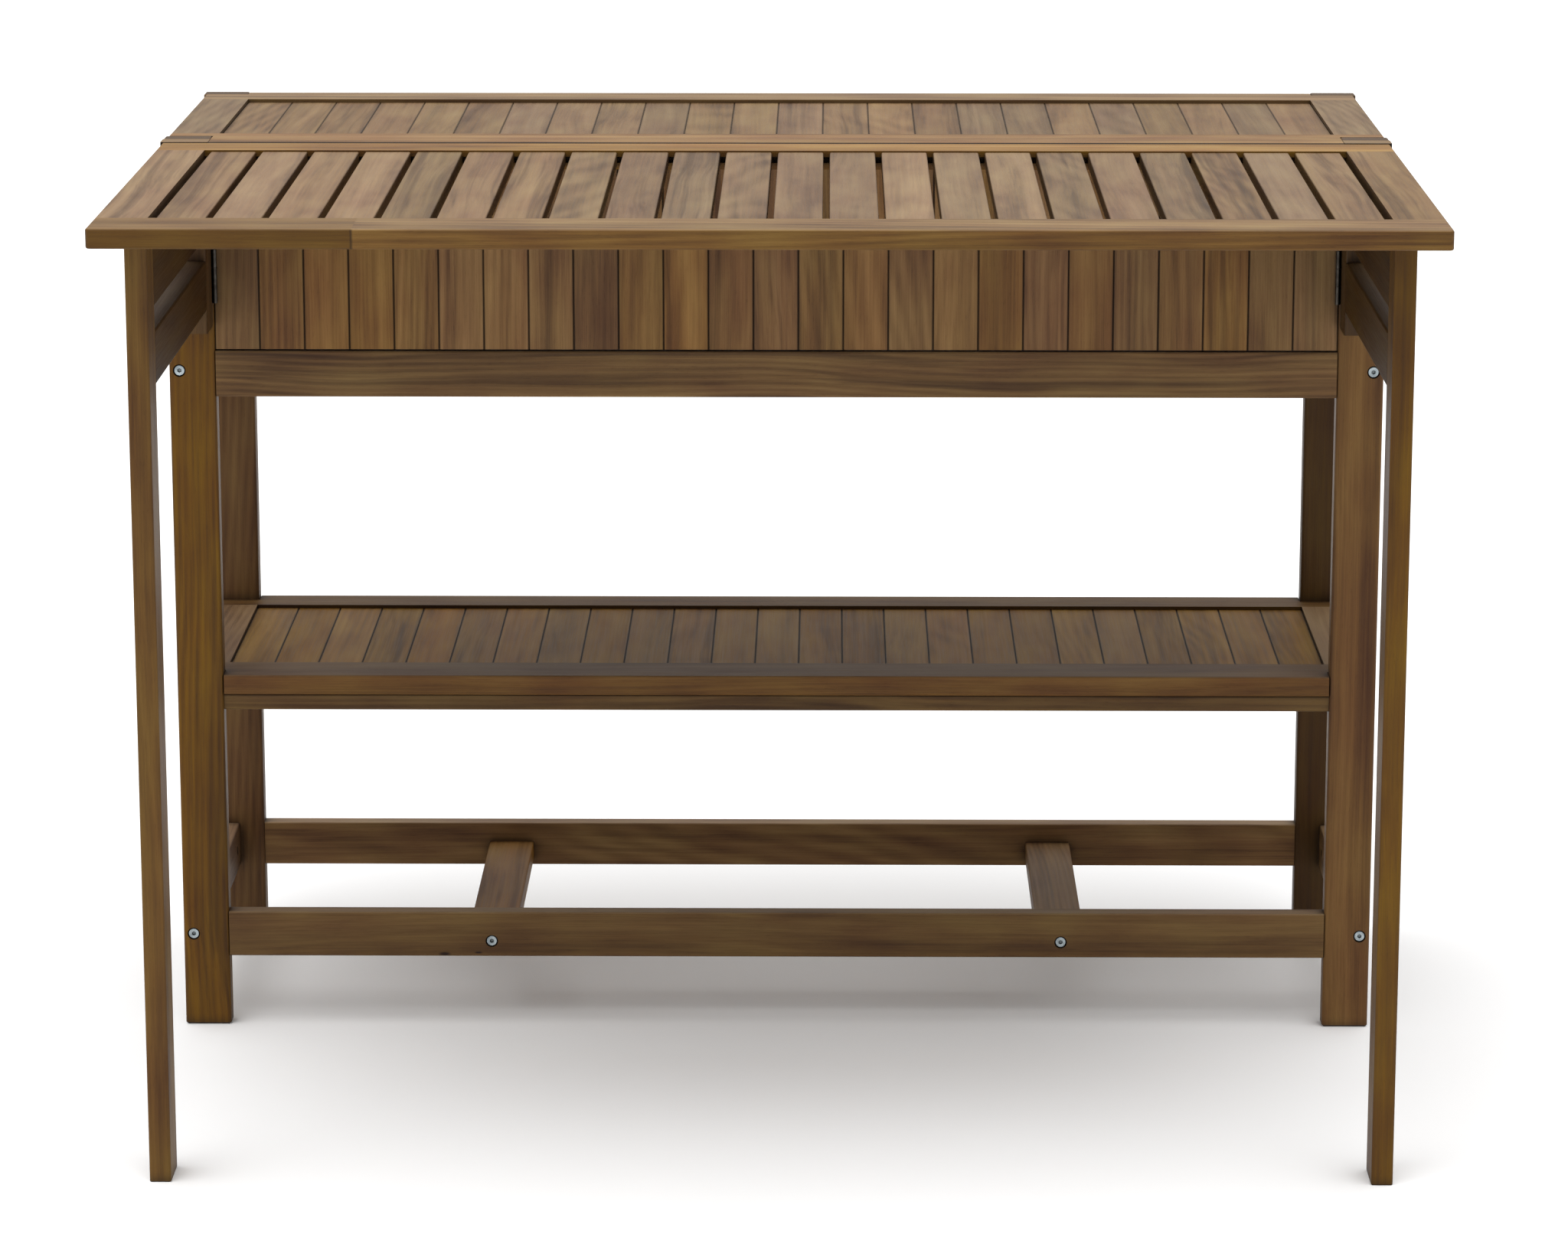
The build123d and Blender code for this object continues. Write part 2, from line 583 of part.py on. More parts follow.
# ---- the leaf ----
def leaf():
    """Slatted leaf hinged to the front edge of the fixed top."""
    y = (-LEAF_REACH, LEAF_REAR_EDGE)
    rails = (LEAF_FRONT_RAIL, LEAF_REAR_RAIL)
    nodes = panel_frame("leaf", y, WORK_HEIGHT, PANEL_THICKNESS, rails, LEAF_STILE, PANEL_CORNER_RADIUS)
    nodes["leaf_rear_rail"] = cut(nodes["leaf_rear_rail"], leaf_hinge_screws(False, SCREW_FIT))
    inner = (y[0] + rails[0], y[1] - rails[1])
    half = PANEL_HALF_WIDTH - LEAF_STILE
    width = (2 * half - (LEAF_SLAT_COUNT + 1) * LEAF_SLOT) / LEAF_SLAT_COUNT
    top = WORK_HEIGHT - SLAT_RECESS
    tongue_z = tongue_range(WORK_HEIGHT, PANEL_THICKNESS)
    slats = []
    for index in range(LEAF_SLAT_COUNT):
        left = -half + LEAF_SLOT + index * (width + LEAF_SLOT)
        x = (left, left + width)
        body = eased(block(x, inner, (top - SLAT_THICKNESS, top)), Axis.Y, SLAT_EDGE_RADIUS)
        ends = (inner[0] - TONGUE_LENGTH, inner[1] + TONGUE_LENGTH)
        slats.append(body + block(x, ends, tongue_z))
    nodes["leaf_slats"] = group(slats)
    return nodes


# ---- gate legs ----
def gate_tenon(y, z, reach):
    """Tenons on both ends of a gate rail, centred in the gate's thickness."""
    x = (GATE_MIDDLE - TENON_THICKNESS / 2, GATE_MIDDLE + TENON_THICKNESS / 2)
    return block(x, (y[0] - reach, y[1] + reach), (z[0] + TENON_SHOULDER, z[1] - TENON_SHOULDER))


def right_gate():
    """Leg, two rails and hinge stile of the right-hand gate."""
    x = (GATE_INNER, GATE_OUTER)
    between = (LEG_REAR, STILE_FRONT)
    upper = (GATE_UPPER_BOTTOM, GATE_RAIL_TOP)
    lower = (GATE_LOWER_BOTTOM, GATE_LOWER_TOP)
    tenons = [gate_tenon(between, upper, TENON_LENGTH), gate_tenon(between, lower, TENON_LENGTH)]
    leg = eased(block(x, (-GATE_REACH, LEG_REAR), (0, LEG_TOP)), Axis.Z)
    leg = chamfer(leg.faces().sort_by(Axis.Z)[0].edges(), POST_TOP_CHAMFER)
    stile = eased(block(x, (STILE_FRONT, -GATE_GAP), (GATE_STILE_BOTTOM, GATE_RAIL_TOP)), Axis.Z)
    return {
        "leg": cut(leg, tenons),
        "stile": cut(stile, tenons + gate_hinge_screws(False, SCREW_FIT)),
        "upper_rail": eased(block(x, between, upper), Axis.Y) + tenons[0],
        "lower_rail": eased(block(x, between, lower), Axis.Y) + tenons[1],
    }


def gates():
    """Both gates, the left one a mirror image of the right one."""
    nodes = {}
    for piece, solid in right_gate().items():
        nodes["gate_right_" + piece] = solid
        nodes["gate_left_" + piece] = turned(solid, SIDES["left"])
    return nodes


# ---- butt hinges, drawn with the pin along Z through the origin ----
def knuckle_ranges(length, fixed):
    """Ranges along the pin of the fixed plate's two outer knuckles or the moving plate's middle one."""
    third = length / 3
    if fixed:
        return [(-length / 2, -third / 2), (third / 2, length / 2)]
    return [(-third / 2 + KNUCKLE_GAP, third / 2 - KNUCKLE_GAP)]


def hinge_plate(length, radius, pin_radius, plate_y, fixed):
    """Plate towards +X with its knuckles. The plate's thickness starts at plate_y and goes up in Y."""
    thickness = (plate_y, plate_y + PLATE_THICKNESS)
    plate = block((0, PLATE_WIDTH), thickness, (-length / 2, length / 2))
    window = radius + KNUCKLE_RELIEF
    for low, high in knuckle_ranges(length, not fixed):
        room = (low - KNUCKLE_GAP, high + KNUCKLE_GAP)
        plate = plate - block((-window, window), (-window, window), room)
    for low, high in knuckle_ranges(length, fixed):
        plate = plate + rod((0, 0, low), (0, 0, high), radius)
    bore = rod((0, 0, -length), (0, 0, length), pin_radius + PIN_CLEARANCE)
    plate = plate - bore
    for height in (-length / 2 + HINGE_SCREW_END, length / 2 - HINGE_SCREW_END):
        plate = plate - hinge_screw(height, plate_y, SCREW_FIT)
    return plate


def hinge_screw(height, plate_y, play=0.0):
    """Small countersunk screw through a plate, its head flush with the plate's outer face."""
    cone = Plane(origin=(HINGE_SCREW_OFFSET, plate_y, height), z_dir=(0, 1, 0))
    head = cone * Cone(HINGE_SCREW_HEAD_RADIUS + play, HINGE_SCREW_RADIUS + play, PLATE_THICKNESS,
                       align=(Align.CENTER, Align.CENTER, Align.MIN))
    tip = (HINGE_SCREW_OFFSET, plate_y + HINGE_SCREW_LENGTH, height)
    return head + rod((HINGE_SCREW_OFFSET, plate_y, height), tip, HINGE_SCREW_RADIUS + play)


def hinge_screw_set(length, plate_y, planes, play=0.0):
    """Both screws of every plate in its place, or the holes for them."""
    heights = (-length / 2 + HINGE_SCREW_END, length / 2 - HINGE_SCREW_END)
    return [plane * hinge_screw(height, plate_y, play) for plane in planes for height in heights]


def leaf_hinge_planes(fixed):
    """Place of each leaf hinge's plate: its X runs across the panel and its Y points up."""
    way = 1 if fixed else -1
    return [Plane(origin=(x, LEAF_PIN_Y, LEAF_PIN_Z), x_dir=(0, way, 0), z_dir=(way, 0, 0))
            for x in LEAF_HINGE_PLACES]


def gate_hinge_planes(fixed):
    """Place of each right-hand gate hinge's plate: its Y points into the post or into the gate's stile."""
    way = 1 if fixed else -1
    return [Plane(origin=(GATE_PIN_X, GATE_PIN_Y, z), x_dir=(1, 0, 0), z_dir=(0, 0, way))
            for z in GATE_HINGE_HEIGHTS]


def leaf_hinge_screws(fixed, play=0.0):
    """Screws of the leaf hinges' fixed or moving plates."""
    plate_y = LEAF_PIN_DROP - PLATE_THICKNESS
    return hinge_screw_set(LEAF_HINGE_LENGTH, plate_y, leaf_hinge_planes(fixed), play)


def gate_plate_y(fixed):
    """Where a gate hinge plate's thickness starts, from the pin's axis."""
    timber = -GATE_PIN_Y if fixed else GATE_GAP + GATE_PIN_Y
    return timber - PLATE_THICKNESS


def gate_hinge_screws(fixed, play=0.0):
    """Screws of the right-hand gate hinges' fixed or moving plates."""
    return hinge_screw_set(GATE_HINGE_LENGTH, gate_plate_y(fixed), gate_hinge_planes(fixed), play)


def gate_plates(fixed):
    """Right-hand gate hinges' fixed or moving plates."""
    plate = hinge_plate(GATE_HINGE_LENGTH, GATE_KNUCKLE_RADIUS, GATE_PIN_RADIUS, gate_plate_y(fixed), fixed)
    return [plane * plate for plane in gate_hinge_planes(fixed)]


def leaf_plates(fixed):
    """Leaf hinges' fixed or moving plates."""
    plate_y = LEAF_PIN_DROP - PLATE_THICKNESS
    plate = hinge_plate(LEAF_HINGE_LENGTH, LEAF_KNUCKLE_RADIUS, LEAF_PIN_RADIUS, plate_y, fixed)
    return [plane * plate for plane in leaf_hinge_planes(fixed)]


def hinge_pin(length, radius):
    """Plain pin, centred on the origin."""
    return rod((0, 0, -length / 2), (0, 0, length / 2), radius)


def hinges():
    """Plates, pins and screws of the three leaf hinges and the four gate hinges."""
    both = SIDES.values()
    leaf_pin = hinge_pin(LEAF_HINGE_LENGTH, LEAF_PIN_RADIUS)
    gate_pins = [plane * hinge_pin(GATE_HINGE_LENGTH, GATE_PIN_RADIUS) for plane in gate_hinge_planes(True)]
    post_screws = [turned(solid, side) for solid in gate_hinge_screws(True) for side in both]
    nodes = {
        "leaf_hinge_fixed_plates": group(leaf_plates(True)),
        "leaf_hinge_moving_plates": group(leaf_plates(False)),
        "leaf_hinge_pins": group(plane * leaf_pin for plane in leaf_hinge_planes(True)),
        "gate_hinge_fixed_plates": group(turned(solid, side) for solid in gate_plates(True) for side in both),
        "gate_hinge_pins": group(turned(solid, side) for solid in gate_pins for side in both),
        "frame_hinge_screws": group(leaf_hinge_screws(True) + post_screws),
        "leaf_hinge_screws": group(leaf_hinge_screws(False)),
    }
    for name, side in SIDES.items():
        plates = [turned(solid, side) for solid in gate_plates(False)]
        screws = [turned(solid, side) for solid in gate_hinge_screws(False)]
        nodes["gate_" + name + "_hinge_plates"] = group(plates)
        nodes["gate_" + name + "_hinge_screws"] = group(screws)
    return nodes


# ---- export ----
def all_nodes():
    """Every node of the bench by name."""
    nodes = {}
    for section in (fixed_frame, fixed_top, shelf, apron, leaf, gates, hinges):
        nodes.update(section())
    return nodes


os.makedirs("parts", exist_ok=True)
for node, shape in all_nodes().items():
    export_step(Pos(0, ORIGIN_SHIFT, 0) * shape, "parts/" + node + ".step")
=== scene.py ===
import math

import bpy
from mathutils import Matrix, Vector


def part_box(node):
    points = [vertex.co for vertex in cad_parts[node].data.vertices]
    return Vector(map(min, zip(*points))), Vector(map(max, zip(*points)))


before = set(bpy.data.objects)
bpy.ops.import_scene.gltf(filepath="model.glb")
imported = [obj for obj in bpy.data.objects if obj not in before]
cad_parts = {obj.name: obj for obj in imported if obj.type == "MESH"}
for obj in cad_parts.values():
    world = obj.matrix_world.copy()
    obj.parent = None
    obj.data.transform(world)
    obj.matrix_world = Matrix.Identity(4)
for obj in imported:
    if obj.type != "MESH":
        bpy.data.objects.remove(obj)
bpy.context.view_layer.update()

AXES = "XYZ"

# ---- timber figure ----
# each noise: rate along the grain, width across it in metres, detail, roughness
SLOW_BEND = (2.2, 0.14, 1.0, 0.5)
QUICK_BEND = (9.0, 0.05, 1.0, 0.5)
BANDS = (1.3, 0.022, 2.0, 0.5)
STREAKS = (2.6, 0.0045, 3.0, 0.6)
FIBRES = (12.0, 0.0012, 3.0, 0.6)
PORES = (110.0, 0.0005, 1.0, 0.5)
BLOTCHES = (9.0, 0.035, 2.0, 0.5)
VEINS = (0.9, 0.012, 3.0, 0.6)
# how far apart pieces are cut from the same noise, in metres
CUT_APART = (7.0, 5.0, 3.0)
# how far the figure wanders across the grain, in metres
SLOW_BEND_SIZE = 0.034
QUICK_BEND_SIZE = 0.004
# growth rings: spacing, spread of the pith to the side and in depth, its least depth, its lean
RING_SPACING = 0.0065
PITH_SIDE = 0.10
PITH_DEPTH = 0.05
PITH_LEAST_DEPTH = 0.012
PITH_LEAN = 0.16
RING_CHANCE = (0.35, 1.0)
RING_SHARE = (0.02, 0.16)
# share of each noise in the tone, around the middle tone
MIDDLE = 0.5
BAND_SHARE = 0.80
BLOTCH_SHARE = 0.60
STREAK_SHARE = 0.42
FIBRE_SHARE = 0.42
PORE_SHARE = -0.10
PORE_RANGE = (0.62, 0.74)
VEIN_RANGE = (0.50, 0.66)
VEIN_CHANCE = (0.40, 0.80)

# ---- timber colours ----
# oiled timber from dark to light on upright faces, and a paler copy for faces that look up: painted light
# and sheen from overhead
UPRIGHT = ((0.15, (0.062, 0.025, 0.006)), (0.5, (0.150, 0.073, 0.0195)), (0.85, (0.235, 0.126, 0.039)))
UPWARD_PAINTED_LIGHT = ((0.15, (0.130, 0.075, 0.035)), (0.5, (0.270, 0.163, 0.079)), (0.85, (0.370, 0.235, 0.120)))
UP_RANGE = (0.3, 0.9)        # how far a normal looks up, from upright to upward
FRONT_RANGE = (0.05, 0.35)   # the same towards the front
END_RANGE = (0.7, 0.95)      # the same along the grain
END_GRAIN = (0.085, 0.050, 0.025, 1.0)
END_FIBRES = (0.7, 1.3)
VEIN_TINT = (0.62, 0.59, 0.58, 1.0)
MARK_TINT = (0.16, 0.11, 0.08, 1.0)
MARK_EDGE = (0.5, 1.2)
# differences from piece to piece
NEXT_CHANCE = 0.37
HUE_MIDDLE = 0.5
HUE_SPREAD = 0.004
BLOTCH_HUE = 0.030
SATURATION_SPREAD = (0.92, 1.03)
VALUE_SPREAD = (0.86, 1.14)
TIMBER_VALUE = 0.70          # all timber, set against the light
# dark lines between boards and at joins, in metres
LINE_HALF_WIDTH = 0.0006
LINE_FADE = 0.0016
SEAM_LINE = 0.45
SEAM_UPWARD = 0.96
# painted shade in corners, where nearby surfaces keep the light away
CREVICE_REACH = 0.012
CREVICE_RANGE = (0.30, 0.95)
CREVICE_SHADE = 0.28
CREVICE_SAMPLES = 6
# surface
FIBRE_RANGE = (0.3, 0.7)
TIMBER_ROUGHNESS = (0.46, 0.60)
TIMBER_SPECULAR = 0.21
TIMBER_BUMP = {"Strength": 0.30, "Distance": 0.0005}
PORE_HEIGHT = -0.9
FIBRE_HEIGHT = 0.8

# ---- single nodes ----
# how many boards a node has, the way they lie and how dark the lines between them are
ROWS = {"top_boards": (24, "Y", 0.38), "shelf_boards": (25, "Y", 0.75), "apron_boards": (25, "Z", 0.75),
        "leaf_slats": (22, "Y", 0.0)}
SLAT_SLOT = 0.006
# the join's distance from the node's left end, and how bright the shorter length left of it is
SEAMS = {"leaf_front_rail": (0.2315, 0.72)}
# dark knots: distance from the node's left end and foot, half-length along X, half-height along Z
MARKS = {"front_stretcher": ((0.237, 0.0025, 0.006, 0.0022), (0.271, 0.004, 0.004, 0.0012))}
# brightness and saturation of each node: its own tone, and painted light and shade where a node looks
# lighter or darker from how light falls on it, such as the dark rails inside the gates and the brightened
# apron
TONE_AND_PAINTED_LIGHT = {
    "leaf_slats": (1.07, 1.0), "leaf_front_rail": (1.06, 1.12), "leaf_rear_rail": (1.22, 1.2),
    "leaf_stile_left": (1.4, 1.0), "leaf_stile_right": (1.12, 1.1),
    "top_boards": (0.96, 1.05), "top_rear_rail": (1.28, 0.95), "top_front_rail": (1.36, 1.2),
    "top_stile_left": (0.98, 0.9), "top_stile_right": (0.98, 0.95),
    "apron_boards": (1.74, 0.98), "upper_front_rail": (1.34, 0.92),
    "post_front_left": (1.14, 1.25), "post_front_right": (1.10, 1.0),
    "post_rear_left": (0.88, 1.0), "post_rear_right": (0.44, 1.15),
    "gate_left_leg": (1.08, 1.05), "gate_right_leg": (0.8, 1.3),
    "gate_left_upper_rail": (0.36, 1.1), "gate_left_lower_rail": (0.39, 1.15),
    "gate_right_upper_rail": (0.36, 1.1), "gate_right_lower_rail": (0.39, 1.15),
    "gate_left_stile": (0.70, 1.0), "gate_right_stile": (0.70, 1.0),
    "shelf_boards": (1.1, 1.35), "shelf_rear_rail": (0.72, 1.3), "shelf_front_rail": (1.04, 1.1),
    "shelf_front_bearer": (1.0, 1.05), "front_stretcher": (0.95, 1.0), "rear_stretcher": (1.42, 0.92),
    "cross_bar_left": (1.45, 1.2), "cross_bar_right": (1.35, 1.1),
}
PLAIN_LOOK = (1.0, 1.0)
# how bright the corners stay where they are open to the light on both sides
CREVICES = {"leaf_slats": 0.62}
# painted shade: how bright the front and the upward faces are kept, dark in the gap behind the leaf and
# on the shelf's edge under the top
PAINTED_FACE_SHADE = {"top_front_rail": (0.07, 1.0), "head_block_left": (0.12, 1.0), "head_block_right": (0.12, 1.0),
         "shelf_front_rail": (1.12, 0.62), "shelf_rear_rail": (1.0, 0.85)}

# ---- zinc ----
BRIGHT_METAL = ("frame_bolts", "barrel_nuts", "panel_screws")
# hinge plates, pins and screws take a much darker copy of the zinc: painted shade for the hinges, which
# sit in shadow in the gaps
SHADED_METAL_WORDS = ("plates", "pins", "hinge_screws")
BRIGHT_ZINC = ((0.24, 0.28, 0.30), (0.46, 0.52, 0.54))
SHADED_ZINC = ((0.030, 0.026, 0.022), (0.070, 0.063, 0.055))
ZINC_FINE = {"Scale": 900.0, "Detail": 3.0}
ZINC_COARSE = {"Scale": 140.0, "Detail": 2.0}
ZINC_RANGE = (0.3, 0.7)
ZINC_CREVICE_REACH = 0.004
ZINC_CREVICE_RANGE = (0.35, 0.85)
ZINC_CREVICE_SHADE = 0.12
ZINC_ROUGHNESS = (0.28, 0.45)
ZINC_BUMP = {"Strength": 0.15, "Distance": 0.0002}

# ---- camera, floor and lights ----
CAMERA_PLACE = (0.0534, -5.0541, 1.5985)
CAMERA_YAW = -0.0088
CAMERA_PITCH = -0.2263
CAMERA_LENS = 122.34
CAMERA_SENSOR = 36.0
CAMERA_REACH = 100.0
FLOOR_SIZE = 60.0
FLOOR_COLOUR = (0.95, 0.95, 0.95, 1.0)
FLOOR_ROUGHNESS = 0.9
SKY_LOW = 0.54
SKY_HIGH = 1.44
BACKDROP = 1.3               # the sky as the camera sees it, as pale as the floor
SUN_STRENGTH = 2.04
SUN_SPREAD = 60.0            # degrees
SUN_WAY = (0.10, 0.28, -1.0)


class Nodes:
    """A node tree with short calls for adding and linking nodes."""

    def __init__(self, tree):
        self.tree = tree
        tree.nodes.clear()

    def add(self, kind, inputs=None, **settings):
        node = self.tree.nodes.new(kind)
        for key, value in settings.items():
            setattr(node, key, value)
        for key, value in (inputs or {}).items():
            self.feed(node.inputs[key], value)
        return node

    def feed(self, socket, value):
        if isinstance(value, bpy.types.NodeSocket):
            self.tree.links.new(value, socket)
        else:
            socket.default_value = value

    def math(self, operation, *values):
        return self.add("ShaderNodeMath", dict(enumerate(values)), operation=operation).outputs[0]

    def combine(self, x, y, z):
        return self.add("ShaderNodeCombineXYZ", {0: x, 1: y, 2: z}).outputs[0]

    def separate(self, vector):
        return self.add("ShaderNodeSeparateXYZ", {0: vector}).outputs

    def noise(self, vector, detail, roughness):
        inputs = {"Vector": vector, "Scale": 1.0, "Detail": detail, "Roughness": roughness}
        return self.add("ShaderNodeTexNoise", inputs).outputs[0]

    def chance(self, value):
        """A colour picked at random for each value."""
        return self.add("ShaderNodeTexWhiteNoise", {"W": value}, noise_dimensions="1D").outputs["Color"]

    def centred(self, value, size):
        """A value from 0 to 1, spread over size around zero."""
        return self.math("MULTIPLY_ADD", value, size, -size / 2)

    def ramp(self, value, stops):
        node = self.add("ShaderNodeValToRGB", {0: value})
        ramp = node.color_ramp
        for extra in stops[2:]:
            ramp.elements.new(extra[0])
        for element, (place, colour) in zip(ramp.elements, sorted(stops)):
            element.position = place
            element.color = (*colour, 1.0)
        return node.outputs[0]

    def fade(self, value, low, high, to_low=0.0, to_high=1.0):
        """Linear change from to_low at low to to_high at high, held beyond them."""
        node = self.add("ShaderNodeMapRange", {0: value, 1: low, 2: high, 3: to_low, 4: to_high})
        return node.outputs[0]

    def mix(self, factor, a, b, mode="MIX"):
        node = self.add("ShaderNodeMix", data_type="RGBA", blend_type=mode)
        self.feed(node.inputs["Factor"], factor)
        self.feed(node.inputs[6], a)
        self.feed(node.inputs[7], b)
        return node.outputs[2]

    def tint(self, colour, other):
        return self.mix(1.0, colour, other, "MULTIPLY")

    def dim(self, colour, value):
        return self.tint(colour, self.combine(value, value, value))


def rings_of(n, along, across, depth, bend, chances):
    """Growth rings round a pith that leans through each piece."""
    c1, c2, c3 = chances
    side = n.math("ADD", n.math("ADD", across, bend), n.centred(c2, PITH_SIDE))
    lean = n.centred(c3, PITH_LEAN)
    deep = n.math("ADD", n.math("MULTIPLY_ADD", along, lean, n.math("ADD", depth, bend)),
                  n.math("MULTIPLY_ADD", c1, PITH_DEPTH, PITH_LEAST_DEPTH))
    radius = n.math("SQRT", n.math("ADD", n.math("MULTIPLY", side, side), n.math("MULTIPLY", deep, deep)))
    wave = n.math("SINE", n.math("MULTIPLY", radius, 2 * math.pi / RING_SPACING))
    return n.math("MULTIPLY_ADD", wave, 0.5, 0.5)


def timber_group():
    """Figure of oiled hardwood: bands, streaks, rings, fibres, pores and blotches along the grain."""
    tree = bpy.data.node_groups.new("timber_figure", "ShaderNodeTree")
    for name in ("Along", "Across", "Depth", "Piece"):
        tree.interface.new_socket(name, in_out="INPUT", socket_type="NodeSocketFloat")
    for name in ("Tone", "Fibre", "Pores", "Blotch", "Vein"):
        tree.interface.new_socket(name, in_out="OUTPUT", socket_type="NodeSocketFloat")
    n = Nodes(tree)
    source = n.add("NodeGroupInput")
    along, across, depth, piece = (source.outputs[i] for i in range(4))
    chances = n.separate(n.chance(piece))
    u, v, w = (n.math("MULTIPLY_ADD", chance, apart, place)
               for chance, apart, place in zip(chances, CUT_APART, (along, across, depth)))

    def field(figure, side=v, deep=w):
        rate, width, detail, roughness = figure
        place = n.combine(n.math("MULTIPLY", u, rate), n.math("DIVIDE", side, width),
                          n.math("DIVIDE", deep, width))
        return n.noise(place, detail, roughness)

    bend = n.math("ADD", n.centred(field(SLOW_BEND), SLOW_BEND_SIZE),
                  n.centred(field(QUICK_BEND), QUICK_BEND_SIZE))
    bent = (n.math("ADD", v, bend), n.math("ADD", w, bend))
    rings = rings_of(n, along, across, depth, bend, chances)
    ring_share = n.fade(chances[2], *RING_CHANCE, *RING_SHARE)
    fibre = field(FIBRES)
    blotch = field(BLOTCHES)
    pores = n.fade(field(PORES), *PORE_RANGE)
    tone = MIDDLE
    for part, share in ((field(BANDS, *bent), BAND_SHARE), (blotch, BLOTCH_SHARE),
                        (field(STREAKS, *bent), STREAK_SHARE), (fibre, FIBRE_SHARE)):
        tone = n.math("MULTIPLY_ADD", n.math("SUBTRACT", part, MIDDLE), share, tone)
    tone = n.math("SUBTRACT", tone, n.math("MULTIPLY", n.math("SUBTRACT", rings, MIDDLE), ring_share))
    tone = n.math("MULTIPLY_ADD", pores, PORE_SHARE, tone)
    vein = n.math("MULTIPLY", n.fade(field(VEINS, *bent), *VEIN_RANGE), n.fade(chances[1], *VEIN_CHANCE))
    sink = n.add("NodeGroupOutput")
    for index, value in enumerate((tone, fibre, pores, blotch, vein)):
        n.feed(sink.inputs[index], value)
    return tree


FIGURE = timber_group()


def spots(n, at, low, marks):
    """Dark knots on a node whose left end and foot are at low."""
    total = None
    for x, z, half_length, half_height in marks:
        dx = n.math("DIVIDE", n.math("SUBTRACT", at[0], low[0] + x), half_length)
        dz = n.math("DIVIDE", n.math("SUBTRACT", at[2], low[2] + z), half_height)
        far = n.math("SQRT", n.math("ADD", n.math("MULTIPLY", dx, dx), n.math("MULTIPLY", dz, dz)))
        mark = n.fade(far, *MARK_EDGE, 1.0, 0.0)
        total = mark if total is None else n.math("MAXIMUM", total, mark)
    return total


def board_row(n, at, node, seed):
    """Number of the board at a place, and the dark line beside it."""
    count, _, strength = ROWS[node]
    low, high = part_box(node)
    slot = SLAT_SLOT if node == "leaf_slats" else 0.0
    pitch = (high[0] - low[0] + slot) / count
    step = n.math("DIVIDE", n.math("SUBTRACT", at[0], low[0] - slot / 2), pitch)
    part = n.math("FRACT", step)
    edge = n.math("MULTIPLY", n.math("MINIMUM", part, n.math("SUBTRACT", 1.0, part)), pitch)
    piece = n.math("ADD", n.math("FLOOR", step), seed)
    return piece, n.fade(edge, LINE_HALF_WIDTH, LINE_FADE, 1.0 - strength, 1.0)


def joined(n, at, up, node, seed):
    """Two lengths joined end to end: number of the length, and the line at the join on upright faces."""
    place, shorter = SEAMS[node]
    from_join = n.math("SUBTRACT", at[0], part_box(node)[0][0] + place)
    side = n.math("GREATER_THAN", from_join, 0.0)
    edge = n.math("ABSOLUTE", from_join)
    line = n.math("MULTIPLY", n.fade(edge, LINE_HALF_WIDTH, LINE_FADE, SEAM_LINE, 1.0),
                  n.fade(side, 0.0, 1.0, shorter, 1.0))
    return n.math("ADD", side, seed), n.math("MAXIMUM", line, n.fade(up, 0.0, 1.0, 0.0, SEAM_UPWARD))


def piece_shade(n, colour, piece, blotch, look):
    """Every piece differs a little in hue, saturation and brightness, on top of its node's brightness,
    which holds painted light and shade.
    """
    d = n.separate(n.chance(n.math("ADD", piece, NEXT_CHANCE)))
    brightness, saturation = look
    hue = n.math("ADD", n.fade(d[0], 0.0, 1.0, HUE_MIDDLE - HUE_SPREAD, HUE_MIDDLE + HUE_SPREAD),
                 n.centred(blotch, BLOTCH_HUE))
    shade = n.add("ShaderNodeHueSaturation", {
        "Color": colour, "Hue": hue,
        "Saturation": n.fade(d[1], 0.0, 1.0, *(saturation * end for end in SATURATION_SPREAD)),
        "Value": n.fade(d[2], 0.0, 1.0, *(TIMBER_VALUE * brightness * end for end in VALUE_SPREAD))})
    return shade.outputs[0]


def crevice(n, reach, bounds, shade):
    """Painted shade of a surface near others, from shade in a corner to 1 in the open."""
    near = n.add("ShaderNodeAmbientOcclusion", {"Distance": reach}, samples=CREVICE_SAMPLES)
    return n.fade(near.outputs["AO"], *bounds, shade, 1.0)


def timber_lines_and_shade(n, node, facing, up, line):
    """Painted shade in corners and on the faces that stand in a gap or under the top, and the dark lines
    between boards and at joins.
    """
    lines_and_shade = crevice(n, CREVICE_REACH, CREVICE_RANGE, CREVICES.get(node, CREVICE_SHADE))
    if line is not None:
        lines_and_shade = n.math("MULTIPLY", lines_and_shade, line)
    # painted shade on front faces in the gap behind the leaf and on tops under the top
    if node in PAINTED_FACE_SHADE:
        front, upward = PAINTED_FACE_SHADE[node]
        front = n.fade(n.math("MULTIPLY", facing[1], -1.0), *FRONT_RANGE, 1.0, front)
        upward = n.fade(up, 0.0, 1.0, 1.0, upward)
        lines_and_shade = n.math("MULTIPLY", lines_and_shade, n.math("MULTIPLY", front, upward))
    return lines_and_shade


def grain_of(node):
    """Direction of the boards, or of the longest side of a node."""
    if node in ROWS:
        return ROWS[node][1]
    low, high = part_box(node)
    sizes = [high[i] - low[i] for i in range(3)]
    return AXES[sizes.index(max(sizes))]


